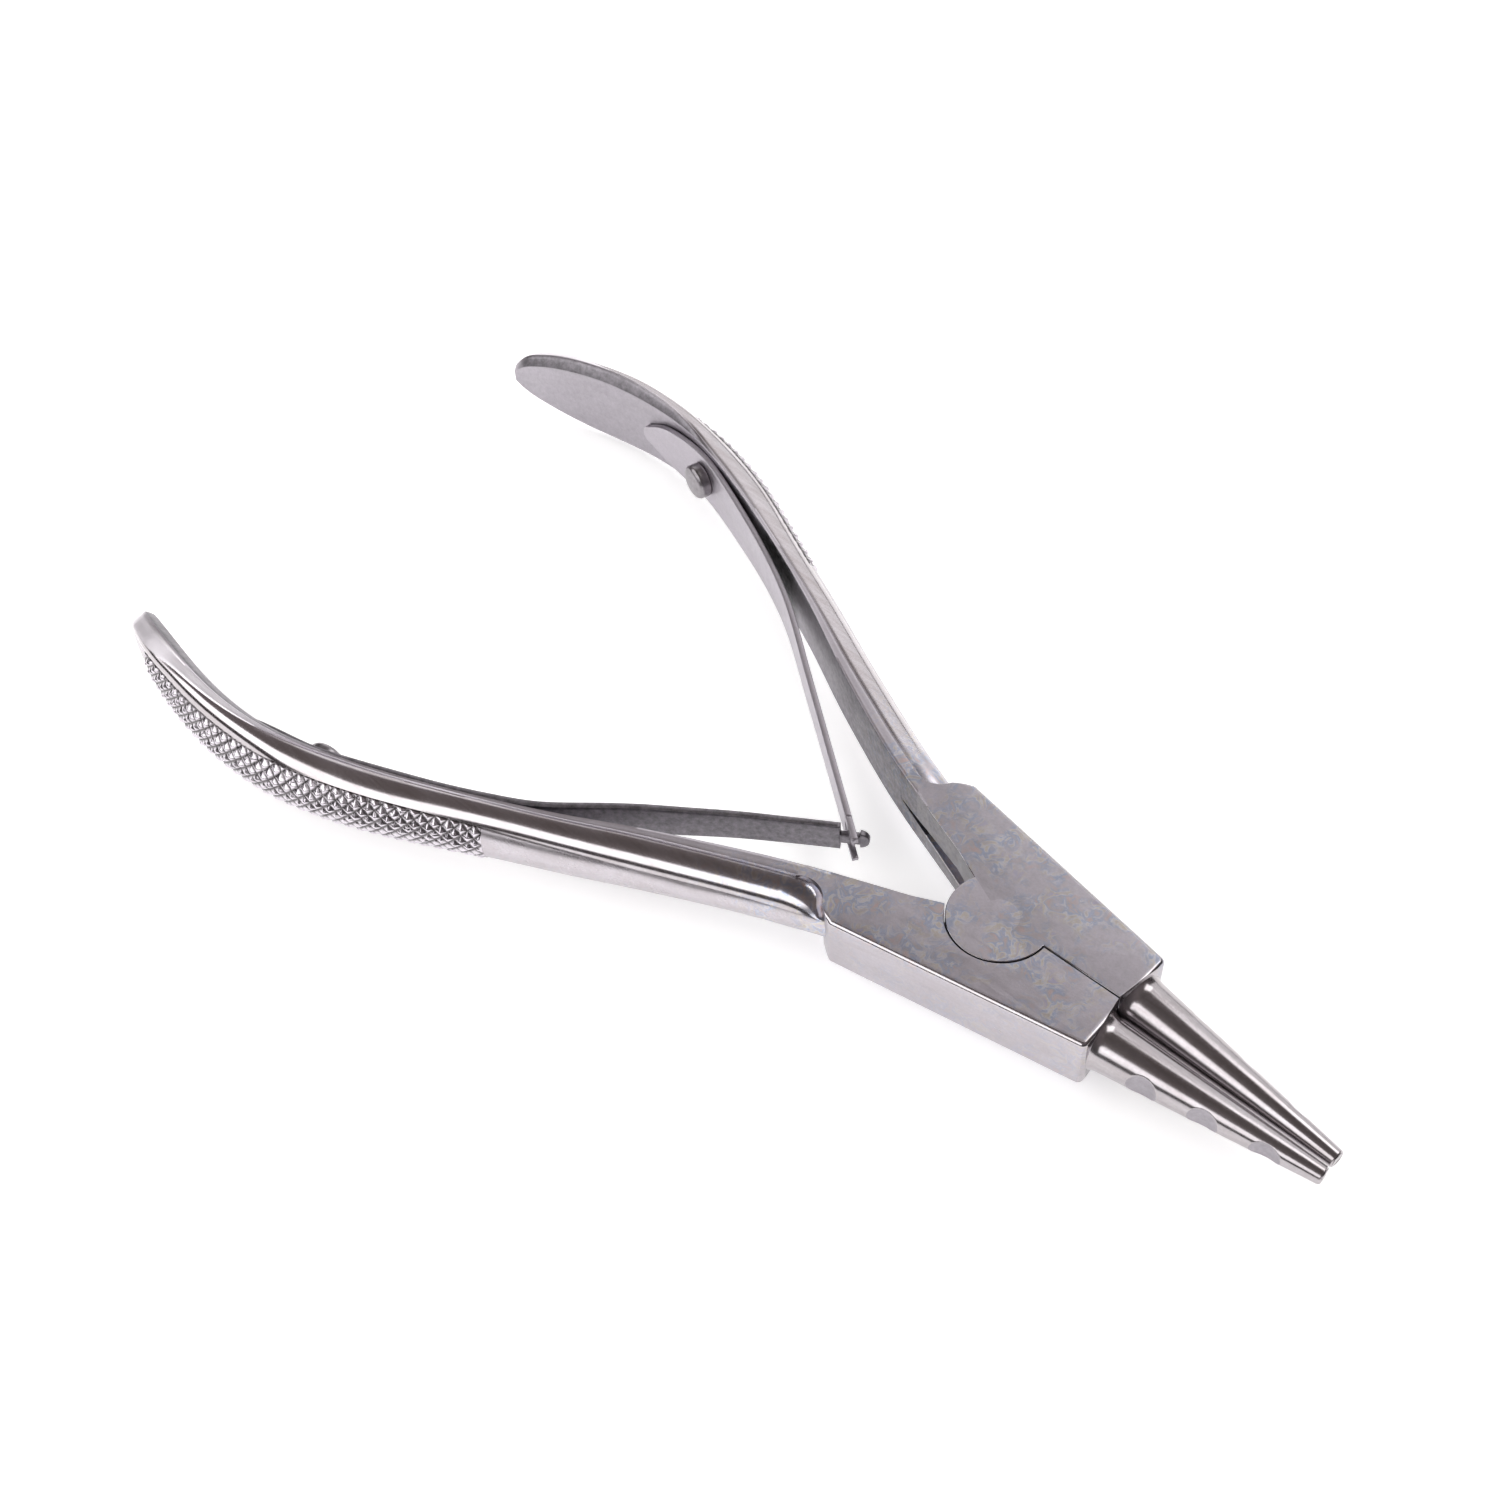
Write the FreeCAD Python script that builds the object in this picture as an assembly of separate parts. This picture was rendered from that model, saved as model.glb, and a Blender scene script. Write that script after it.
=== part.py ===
import FreeCAD, Part
import math
import os

# Ring-opening pliers: two levers on a flush pivot rivet, two interlocking leaf springs.
# Millimetres. Built about the pivot (pivot on the Z axis, mid-plane at z = 0, +X to the jaws,
# +Y to the slotted arm), then moved so that the origin is the bottom centre of the whole tool.

V = FreeCAD.Vector

# whole tool
PIVOT_X = 32.00            # pivot to the middle of the overall length
MID_Z = 5.72               # mid-plane above the surface the tool lies on

# joint
JOINT_T = 7.0              # thickness of the joint block
REAR_CORNER = (-12.1, 11.4)
FRONT_CORNER = (15.05, 6.4)
CORNER_R = 0.7
FRONT_INNER_X = 14.1       # front face where it meets the parting line
PARTING_GAP = 0.2
EDGE_CHAMFER = 0.35
DISC_R = 5.25              # cheek discs
RECESS_R = 5.45            # round recess the cheeks turn in
TONGUE_R = 5.20
TONGUE_Z = (-1.70, 0.30)   # tongue between the cheeks
SLOT_PLAY = 0.05
SLIT_TIP = (-19.4, 8.0)    # pointed end of the slot on the inner face
SLIT_DEPTH = (-8.5, 7.4)   # deepest corner of the slit
SLIT_TIP_Z = -0.85         # height of the slot's point
SLIT_FULL_X = -8.0         # where the slot reaches its full height
PIN_R = 2.0
PIN_PLAY = 0.05            # running clearance in the tongue

# jaws
JAW_BASE = (13.2, 3.10, -0.05)
JAW_TIP = (37.45, 1.08, -0.50)
JAW_BASE_R = 2.90
JAW_TIP_R = 0.93
JAW_ROOT = ((0.95, 3.40), (1.20, 2.98), (2.10, 2.75))   # flare: distance along the jaw, radius
NOTCH_X = (20.65, 26.65, 32.65)
NOTCH_CUT_R = 2.4
NOTCH_DEPTH = 0.50
JAW_TIP_CHAMFER = 0.15

# handle: inner face line, then the section at each station
INNER_LINE = (
    (-8.0, 3.65), (-15.0, 6.30), (-21.8, 9.05), (-28.2, 12.1), (-34.6, 15.4), (-40.9, 18.9),
    (-47.3, 22.1), (-53.7, 25.0), (-60.1, 27.7), (-66.5, 30.0), (-72.9, 31.6), (-79.2, 32.1),
    (-85.6, 31.7), (-92.0, 30.6), (-98.4, 29.2), (-102.0, 28.3),
)
# x, face half width, rim depth and half width, crease, edge line, depth at the middle
STATIONS = (
    (-8.0, 3.50, 1.40, 3.50, 1.50, 3.20, 4.40, 1.35, 4.75),
    (-16.0, 3.50, 1.40, 3.50, 1.50, 3.20, 4.40, 1.35, 4.75),
    (-22.0, 3.44, 1.30, 3.44, 1.40, 3.16, 4.28, 1.42, 4.70),
    (-28.0, 3.50, 1.15, 3.50, 1.25, 3.25, 4.10, 1.50, 4.60),
    (-35.0, 3.66, 0.85, 3.66, 0.95, 3.44, 3.75, 1.75, 4.30),
    (-41.0, 3.78, 0.60, 3.78, 0.70, 3.60, 3.25, 2.10, 4.00),
    (-47.5, 3.85, 0.40, 3.85, 0.50, 3.70, 2.95, 2.40, 3.85),
    (-54.0, 3.88, 0.30, 3.88, 0.40, 3.76, 2.95, 2.75, 3.95),
    (-60.0, 3.95, 0.30, 3.96, 0.40, 3.82, 3.10, 2.95, 4.30),
    (-66.0, 4.13, 0.33, 4.16, 0.42, 3.98, 3.08, 3.05, 4.45),
    (-70.0, 4.25, 0.42, 4.42, 0.52, 4.15, 3.02, 3.08, 4.40),
    (-73.5, 4.25, 0.60, 4.85, 0.85, 4.42, 2.95, 3.10, 4.25),
    (-77.0, 4.26, 0.80, 5.20, 1.20, 4.62, 2.92, 3.10, 4.15),
    (-81.0, 4.32, 0.95, 5.48, 1.56, 4.74, 2.95, 3.10, 4.05),
    (-85.6, 4.36, 1.02, 5.64, 1.92, 4.66, 3.05, 3.10, 3.95),
    (-89.0, 4.24, 1.04, 5.52, 2.30, 4.36, 3.14, 2.94, 3.92),
    (-92.5, 3.90, 1.04, 5.18, 2.92, 3.90, 3.28, 2.72, 3.80),
    (-95.5, 3.36, 1.02, 4.58, 3.10, 3.42, 3.26, 2.40, 3.62),
    (-98.2, 2.58, 0.95, 3.72, 2.86, 2.80, 3.02, 1.96, 3.30),
    (-100.2, 1.60, 0.82, 2.60, 2.36, 1.94, 2.52, 1.38, 2.72),
    (-101.2, 0.80, 0.64, 1.46, 1.70, 1.10, 1.84, 0.84, 2.00),
)
BODY_BULGE = 0.62          # roundness of the handle body between crease and edge line
GRIP_RISE = 0.25           # knurled band above the handle
GRIP_BORDER = 0.15         # smooth strip beside the band
GRIP_STATIONS = (-48.4, -54.0, -60.0, -66.0, -70.0, -77.0, -81.0, -85.6, -89.0, -92.5, -94.8)
SHOULDER = ((-18.2, 9.2), (-15.0, 8.9), (-14.0, 10.0))
HEEL = ((-17.6, 11.15), (-14.6, 10.35), (-13.0, 11.05))   # rounded run of the handle into the block
HEEL_HALF = 1.6

# leaf springs: face towards the other arm, thickness, half width along x
LEAF_ROOT_FACE = (
    (-80.6, 31.28), (-77.0, 31.22), (-73.0, 30.74), (-69.0, 29.98), (-64.3, 28.32), (-58.9, 26.00),
    (-53.8, 23.65), (-49.2, 21.25), (-45.3, 18.90),
)
LEAF_FACE_A = LEAF_ROOT_FACE + (
    (-42.0, 16.60), (-37.5, 13.25), (-32.4, 9.50), (-28.8, 6.85), (-25.2, 4.20), (-21.5, 1.47),
    (-18.95, -0.42), (-17.0, -1.87),
)
LEAF_FACE_B = LEAF_ROOT_FACE + (
    (-42.0, 16.15), (-37.5, 12.35), (-33.0, 9.00), (-29.4, 6.38), (-25.6, 3.85), (-21.5, 1.20),
    (-18.95, -0.42), (-17.0, -1.67),
)
LEAF_T = 0.70
LEAF_WIDTH = (
    (-79.6, 1.20), (-77.5, 2.30), (-74.5, 3.05), (-71.0, 3.35), (-66.0, 3.35), (-60.0, 3.10),
    (-52.0, 2.68), (-46.0, 2.45), (-31.0, 1.95), (-16.5, 1.80),
)
LEAF_END_X = -80.4
FLEX_X = -52.0             # line about which the blade bends
FLEX_GAP = 0.30
CROSS_X = -18.95           # where the two blades interlock
CROSS_ANGLE = 35.3         # blade direction from the centre line, degrees
FORK_BACK = 1.5
FORK_FRONT = 1.45
FORK_Z = (-1.32, 1.02)
NECK_BACK = 1.4
NECK_FRONT = 0.75
NECK_Z = (-0.80, 0.50)
HEAD_R = 1.12
HEAD_END = 1.75

# spring rivets
RIVET_X = -68.4
RIVET_R = 2.15
RIVET_HEAD = 1.20
RIVET_DOME = 0.60
SHANK_R = 1.2
SHANK_PLAY = 0.05
SHANK_DEPTH = 2.6

HALF_T = JOINT_T / 2
MIRROR_Y = (V(0, 0, 0), V(0, 1, 0))


def spline(points):
    """Open smooth curve through plan points."""
    curve = Part.BSplineCurve()
    curve.interpolate([V(x, y, 0) for x, y in points])
    return curve


def point_at_x(curve, x):
    """Parameter where a left-going plan curve reaches x."""
    low = curve.FirstParameter
    high = curve.LastParameter
    falling = curve.value(low).x > curve.value(high).x
    for _ in range(60):
        mid = (low + high) / 2
        if (curve.value(mid).x > x) == falling:
            low = mid
        else:
            high = mid
    return (low + high) / 2


def outward_frame(curve, x):
    """Point on the inner face and the direction away from the centre line."""
    parameter = point_at_x(curve, x)
    point = curve.value(parameter)
    tangent = curve.tangent(parameter)[0]
    normal = V(-tangent.y, tangent.x, 0)
    if normal.y < 0:
        normal = normal * -1
    return point, normal


def slab(points, low, high):
    """Prism over a straight-sided plan outline."""
    corners = [V(x, y, low) for x, y in points]
    wire = Part.makePolygon(corners + corners[:1])
    return Part.Face(wire).extrude(V(0, 0, high - low))


def disc(radius, low, high):
    return Part.makeCylinder(radius, high - low, V(0, 0, low), V(0, 0, 1))


def handle_section(curve, station):
    """Closed section: inner face, rim, shelf, rounded body, outer band."""
    x, half, rim, rim_half, crease, crease_half, edge, edge_half, depth = station
    origin, normal = outward_frame(curve, x)

    def at(out, z):
        return origin + normal * out + V(0, 0, z)

    bulge_out = crease + (edge - crease) * BODY_BULGE
    bulge_z = edge_half + (crease_half - edge_half) * BODY_BULGE
    corners = [at(rim, -rim_half), at(0, -half), at(0, half), at(rim, rim_half), at(crease, crease_half)]
    edges = [Part.makeLine(a, b) for a, b in zip(corners, corners[1:])]
    edges.append(Part.Arc(corners[-1], at(bulge_out, bulge_z), at(edge, edge_half)).toShape())
    edges.append(Part.Arc(at(edge, edge_half), at(depth, 0), at(edge, -edge_half)).toShape())
    edges.append(Part.Arc(at(edge, -edge_half), at(bulge_out, -bulge_z), at(crease, -crease_half)).toShape())
    edges.append(Part.makeLine(at(crease, -crease_half), corners[0]))
    return Part.Wire(edges)


def station_at(x):
    """Section sizes at x, straight between the listed stations."""
    for near, far in zip(STATIONS, STATIONS[1:]):
        if far[0] <= x <= near[0]:
            share = (x - near[0]) / (far[0] - near[0])
            return tuple(a + (b - a) * share for a, b in zip(near, far))
    raise ValueError("no station at %g" % x)


def grip_section(curve, x):
    """Closed section of the raised band on the outer side."""
    edge, edge_half, depth = station_at(x)[6:]
    origin, normal = outward_frame(curve, x)

    def at(out, z):
        return origin + normal * out + V(0, 0, z)

    half = edge_half - GRIP_BORDER
    side = depth - (depth - edge) * (half / edge_half) ** 2
    inside = side - 0.6
    top = side + GRIP_RISE
    edges = [Part.Arc(at(top, half), at(depth + GRIP_RISE, 0), at(top, -half)).toShape()]
    edges.append(Part.makeLine(at(top, -half), at(inside, -half)))
    edges.append(Part.makeLine(at(inside, -half), at(inside, half)))
    edges.append(Part.makeLine(at(inside, half), at(top, half)))
    return Part.Wire(edges)


def handle():
    """Handle of the slotted side, from inside the joint block to the paddle's tip."""
    curve = spline(INNER_LINE)
    body = Part.makeLoft([handle_section(curve, s) for s in STATIONS], True, False)
    grip = Part.makeLoft([grip_section(curve, x) for x in GRIP_STATIONS], True, False)
    return body.fuse(grip)


def block():
    """Joint half of the slotted side, without disc or slot."""
    curve = spline(INNER_LINE)
    inner = curve.value(point_at_x(curve, SHOULDER[0][0]))
    corner = curve.value(point_at_x(curve, -8.0))
    lift = PARTING_GAP / 2
    start = V(-0.5, lift, -HALF_T)
    nose = V(FRONT_INNER_X, lift, -HALF_T)
    front = V(*FRONT_CORNER, -HALF_T)
    rear = V(*REAR_CORNER, -HALF_T)
    shoulder = [V(x, y, -HALF_T) for x, y in SHOULDER]
    ring = [start, nose, front, rear, shoulder[2]]
    edges = [Part.makeLine(a, b) for a, b in zip(ring, ring[1:])]
    edges.append(Part.Arc(shoulder[2], shoulder[1], shoulder[0]).toShape())
    tail = [shoulder[0], V(inner.x, inner.y, -HALF_T), V(corner.x, corner.y, -HALF_T), start]
    edges += [Part.makeLine(a, b) for a, b in zip(tail, tail[1:])]
    body = Part.Face(Part.Wire(edges)).extrude(V(0, 0, JOINT_T))
    body = body.makeChamfer(EDGE_CHAMFER, [e for e in body.Edges if is_outer_edge(e)])
    return body.makeFillet(CORNER_R, [e for e in body.Edges if is_outer_corner(e)])


def is_outer_corner(edge):
    """The upright edges at the ends of the block's outer side."""
    box = edge.BoundBox
    upright = box.ZLength > 5
    outer = box.YMin > 5.0
    rear = abs(box.XMin - REAR_CORNER[0]) < 0.1
    front = abs(box.XMin - FRONT_CORNER[0]) < 0.1
    return upright and outer and (rear or front)


def is_outer_edge(edge):
    """The two long edges of the block's outer side."""
    box = edge.BoundBox
    long_enough = box.XLength > 20
    level = box.ZLength < 0.01
    outer = box.YMin > 5.0
    return long_enough and level and outer


def heel():
    """Rounded run of the handle's outer side into the block."""
    low = -HEEL_HALF
    first, middle, last = [V(x, y, low) for x, y in HEEL]
    inside = V(-13.0, 9.0, low)
    edges = [Part.Arc(first, middle, last).toShape()]
    edges += [Part.makeLine(last, inside), Part.makeLine(inside, first)]
    return Part.Face(Part.Wire(edges)).extrude(V(0, 0, 2 * HEEL_HALF))


def jaw_root(base, along):
    """Flare of the jaw where it leaves the block's front face."""
    start, middle, end = [V(r, 0, h) for h, r in JAW_ROOT]
    corners = [end, V(0, 0, end.z), V(0, 0, 0), V(start.x, 0, 0), start]
    edges = [Part.makeLine(a, b) for a, b in zip(corners, corners[1:])]
    edges.append(Part.Arc(start, middle, end).toShape())
    body = Part.Face(Part.Wire(edges)).revolve(V(0, 0, 0), V(0, 0, 1), 360)
    body.Placement = FreeCAD.Placement(base, FreeCAD.Rotation(V(0, 0, 1), along))
    room = Part.makeBox(20, 6.05, JOINT_T - 0.1, V(5, PARTING_GAP / 2, 0.05 - HALF_T))
    return body.common(room)


def jaw():
    """Round tapered jaw with three ring notches on its outer side."""
    base = V(*JAW_BASE)
    along = V(*JAW_TIP) - base
    body = Part.makeCone(JAW_BASE_R, JAW_TIP_R, along.Length, base, along)
    rims = [e for e in body.Edges if e.BoundBox.Center.x > JAW_TIP[0] - 0.5 and e.BoundBox.YLength < 3]
    body = body.makeChamfer(JAW_TIP_CHAMFER, rims[:1]).fuse(jaw_root(base, along))
    for x in NOTCH_X:
        share = (x - base.x) / along.x
        radius = JAW_BASE_R + (JAW_TIP_R - JAW_BASE_R) * share
        outer = base.y + along.y * share + radius
        centre = V(x, outer - NOTCH_DEPTH + NOTCH_CUT_R, -HALF_T - 1)
        body = body.cut(Part.makeCylinder(NOTCH_CUT_R, JOINT_T + 2, centre, V(0, 0, 1)))
    return body


def rivet_hole(curve):
    point, normal = outward_frame(curve, RIVET_X)
    start = point - normal * 2.0
    return Part.makeCylinder(SHANK_R + SHANK_PLAY, 2.0 + SHANK_DEPTH, start, normal)


def half_tool():
    """Everything the two levers share, on the slotted side."""
    body = handle().fuse([block(), heel(), jaw()])
    return body.cut(rivet_hole(spline(INNER_LINE)))


def slit(low, high):
    """Slot for the tongue, run on to a point along the handle's inner face."""
    plan = slab([(-2.0, 0.0), (-4.0, 1.0), SLIT_TIP, SLIT_DEPTH, (-2.0, 4.0)], low, high)
    side = [(SLIT_TIP[0] - 0.1, SLIT_TIP_Z), (SLIT_FULL_X, high), (0, high), (0, low), (SLIT_FULL_X, low)]
    corners = [V(x, -5, z) for x, z in side]
    face = Part.Face(Part.makePolygon(corners + corners[:1]))
    return plan.common(face.extrude(V(0, 20, 0)))


def slotted_arm(half):
    full = half.fuse(disc(DISC_R, -HALF_T, HALF_T))
    low = TONGUE_Z[0] - SLOT_PLAY
    high = TONGUE_Z[1] + SLOT_PLAY
    body = full.cut([disc(RECESS_R, low, high), slit(low, high)])
    return body.cut(disc(PIN_R, -HALF_T, HALF_T)).removeSplitter()


def tongue_arm(half):
    other = half.mirror(*MIRROR_Y)
    top = disc(RECESS_R, TONGUE_Z[1], HALF_T)
    bottom = disc(RECESS_R, -HALF_T, TONGUE_Z[0])
    body = other.cut([top, bottom]).fuse(disc(TONGUE_R, *TONGUE_Z))
    return body.cut(disc(PIN_R + PIN_PLAY, -HALF_T, HALF_T)).removeSplitter()


def pivot_pin():
    return disc(PIN_R, -HALF_T, HALF_T)


def leaf_strip(points):
    """Bent strip on the slotted side, before it is divided and its end shaped."""
    face = spline(points)
    near = [face.value(point_at_x(face, x)) for x, _ in points]
    normals = [outward_frame(face, x)[1] for x, _ in points]
    far = [p + n * LEAF_T for p, n in zip(near, normals)]
    back = spline([(p.x, p.y) for p in far])
    side_a = face.toShape()
    side_b = back.toShape()
    end_a = Part.makeLine(near[0], far[0])
    end_b = Part.makeLine(near[-1], far[-1])
    plan = Part.Face(Part.Wire(Part.__sortEdges__([side_a, end_b, side_b, end_a])))
    bar = plan.extrude(V(0, 0, 2 * HALF_T))
    bar.translate(V(0, 0, -HALF_T))
    return bar.common(leaf_outline())


def leaf_outline():
    """Width of the strip along its length, as a prism through the strip."""
    upper = [V(x, 0, z) for x, z in LEAF_WIDTH]
    lower = [V(x, 0, -z) for x, z in reversed(LEAF_WIDTH)]
    top = Part.BSplineCurve()
    top.interpolate(upper)
    bottom = Part.BSplineCurve()
    bottom.interpolate(lower)
    nose = Part.Arc(lower[-1], V(LEAF_END_X, 0, 0), upper[0]).toShape()
    end = Part.makeLine(upper[-1], lower[0])
    wire = Part.Wire([top.toShape(), end, bottom.toShape(), nose])
    prism = Part.Face(wire).extrude(V(0, 60, 0))
    prism.translate(V(0, -15, 0))
    return prism


def blade_box(back, front, low, high, angle):
    """Box along a blade at the crossing: back and front are distances along the blade."""
    box = Part.makeBox(front - back, 6.0, high - low, V(back, -3.0, low))
    box.rotate(V(0, 0, 0), V(0, 0, 1), angle)
    box.translate(V(CROSS_X, 0, 0))
    return box


def side_box(low, high):
    return Part.makeBox(high - low, 80, 2 * JOINT_T, V(low, -20, -JOINT_T))


def spring_root(strip):
    part = strip.common(side_box(-90, FLEX_X - FLEX_GAP / 2))
    return part.cut(rivet_hole(spline(INNER_LINE)))


def fork_blade(strip):
    """Blade whose end is a fork: the neck of the other blade lies in it."""
    part = strip.common(side_box(FLEX_X + FLEX_GAP / 2, 0))
    part = part.cut(blade_box(-FORK_BACK, 6.0, FORK_Z[0], FORK_Z[1], -CROSS_ANGLE))
    return part.cut(blade_box(FORK_FRONT, 8.0, -HALF_T, HALF_T, -CROSS_ANGLE))


def neck_blade(strip):
    """Blade whose end is a narrow neck with a round head."""
    part = strip.common(side_box(FLEX_X + FLEX_GAP / 2, 0)).mirror(*MIRROR_Y)
    part = part.cut(blade_box(-NECK_BACK, NECK_FRONT, NECK_Z[1], HALF_T, CROSS_ANGLE))
    part = part.cut(blade_box(-NECK_BACK, NECK_FRONT, -HALF_T, NECK_Z[0], CROSS_ANGLE))
    middle = (NECK_Z[0] + NECK_Z[1]) / 2
    beyond = blade_box(NECK_FRONT, 6.0, -HALF_T, HALF_T, CROSS_ANGLE)
    axis = V(-math.sin(math.radians(CROSS_ANGLE)), math.cos(math.radians(CROSS_ANGLE)), 0)
    reach = HEAD_END - HEAD_R
    along = V(axis.y, -axis.x, 0)
    centre = V(CROSS_X, 0, middle) + along * reach - axis * 3.0
    head = Part.makeCylinder(HEAD_R, 6.0, centre, axis)
    return part.cut(beyond.cut(head))


def spring_rivet():
    """Round-headed rivet on the slotted side."""
    curve = spline(INNER_LINE)
    point, normal = outward_frame(curve, RIVET_X)
    seat = -(LEAF_T + 0.15)
    profile = [(0, seat - RIVET_HEAD - RIVET_DOME), (RIVET_R, seat - RIVET_HEAD), (RIVET_R, seat)]
    profile += [(SHANK_R, seat), (SHANK_R, SHANK_DEPTH - 0.1), (0, SHANK_DEPTH - 0.1)]
    corners = [V(r, 0, h) for r, h in profile]
    crown = V(RIVET_R * 0.62, 0, seat - RIVET_HEAD - RIVET_DOME * 0.72)
    edges = [Part.Arc(corners[0], crown, corners[1]).toShape()]
    edges += [Part.makeLine(a, b) for a, b in zip(corners[1:], corners[2:] + corners[:1])]
    body = Part.Face(Part.Wire(edges)).revolve(V(0, 0, 0), V(0, 0, 1), 360)
    body.Placement = FreeCAD.Placement(point, FreeCAD.Rotation(V(0, 0, 1), normal))
    return body


def build():
    half = half_tool()
    strip_a = leaf_strip(LEAF_FACE_A)
    strip_b = leaf_strip(LEAF_FACE_B)
    rivet = spring_rivet()
    return {
        "slotted_arm": slotted_arm(half),
        "tongue_arm": tongue_arm(half),
        "pivot_pin": pivot_pin(),
        "spring_root_a": spring_root(strip_a),
        "spring_blade_a": fork_blade(strip_a),
        "spring_rivet_a": rivet,
        "spring_root_b": spring_root(strip_b).mirror(*MIRROR_Y),
        "spring_blade_b": neck_blade(strip_b),
        "spring_rivet_b": rivet.mirror(*MIRROR_Y),
    }


os.makedirs("parts", exist_ok=True)
for name, shape in build().items():
    shape.translate(V(PIVOT_X, 0, MID_Z))
    shape.exportStep("parts/%s.step" % name)
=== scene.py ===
import math

import bmesh
import bpy
import numpy as np
from mathutils import Matrix, Vector


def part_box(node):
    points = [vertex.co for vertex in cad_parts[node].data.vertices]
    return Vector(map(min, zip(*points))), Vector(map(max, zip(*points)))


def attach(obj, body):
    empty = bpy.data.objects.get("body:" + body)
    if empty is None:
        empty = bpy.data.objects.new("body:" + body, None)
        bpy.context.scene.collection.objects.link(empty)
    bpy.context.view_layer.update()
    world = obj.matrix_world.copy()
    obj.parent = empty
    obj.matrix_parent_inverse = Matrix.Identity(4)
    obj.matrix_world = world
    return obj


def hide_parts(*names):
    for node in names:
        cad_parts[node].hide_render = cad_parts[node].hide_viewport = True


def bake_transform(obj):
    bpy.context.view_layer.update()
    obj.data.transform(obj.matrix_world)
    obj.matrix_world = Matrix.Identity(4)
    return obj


# Ring-opening pliers. Sizes are millimetres about the pivot: +X to the jaws, +Y to the slotted
# arm, mid-plane at z = 0. put() turns them into the frame's metres. Shapes are given for the
# slotted side (+Y) and mirrored for the tongue side.

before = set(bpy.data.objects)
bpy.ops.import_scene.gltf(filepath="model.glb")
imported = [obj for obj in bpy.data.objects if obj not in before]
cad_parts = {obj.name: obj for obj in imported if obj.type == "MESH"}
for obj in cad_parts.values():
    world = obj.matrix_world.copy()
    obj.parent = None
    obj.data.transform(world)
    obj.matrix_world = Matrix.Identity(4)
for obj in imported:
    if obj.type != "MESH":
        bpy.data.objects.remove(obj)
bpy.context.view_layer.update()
PIN_LOW, PIN_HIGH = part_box("pivot_pin")
PIVOT = (PIN_LOW + PIN_HIGH) / 2
MM = 0.001
HALF_T = (PIN_HIGH.z - PIN_LOW.z) * 500

# ---- driving sizes, as in the CAD model ----
PARTING_GAP = 0.2
DISC_R, RECESS_R, TONGUE_R = 5.25, 5.45, 5.20
TONGUE_Z = (-1.70, 0.30)
SLOT_PLAY = 0.05
SLOT_Z = (TONGUE_Z[0] - SLOT_PLAY, TONGUE_Z[1] + SLOT_PLAY)
PIN_R = (PIN_HIGH.x - PIN_LOW.x) * 500
REAR_CORNER, FRONT_CORNER, FRONT_INNER_X = (-12.1, 11.4), (15.05, 6.4), 14.1
CORNER_R = 0.7
SHOULDER = ((-18.2, 9.2), (-15.0, 8.9), (-14.0, 10.0))
SLIT_PLAN = ((-2.0, 0.0), (-4.0, 1.0), (-19.4, 8.0), (-8.5, 7.4), (-2.0, 4.0))
SLIT_TIP_X, SLIT_TIP_Z, SLIT_FULL_X = -19.5, -0.85, -8.0
JAW_BASE, JAW_TIP = (13.2, 3.10, -0.05), (37.45, 1.08, -0.50)
JAW_BASE_R, JAW_TIP_R = 2.90, 0.93
NOTCH_X, NOTCH_CUT_R, NOTCH_DEPTH = (20.65, 26.65, 32.65), 2.4, 0.50
INNER_LINE = (
    (-8.0, 3.65), (-15.0, 6.30), (-21.8, 9.05), (-28.2, 12.1), (-34.6, 15.4), (-40.9, 18.9),
    (-47.3, 22.1), (-53.7, 25.0), (-60.1, 27.7), (-66.5, 30.0), (-72.9, 31.6), (-79.2, 32.1),
    (-85.6, 31.7), (-92.0, 30.6), (-98.4, 29.2), (-102.0, 28.3),
)
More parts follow.
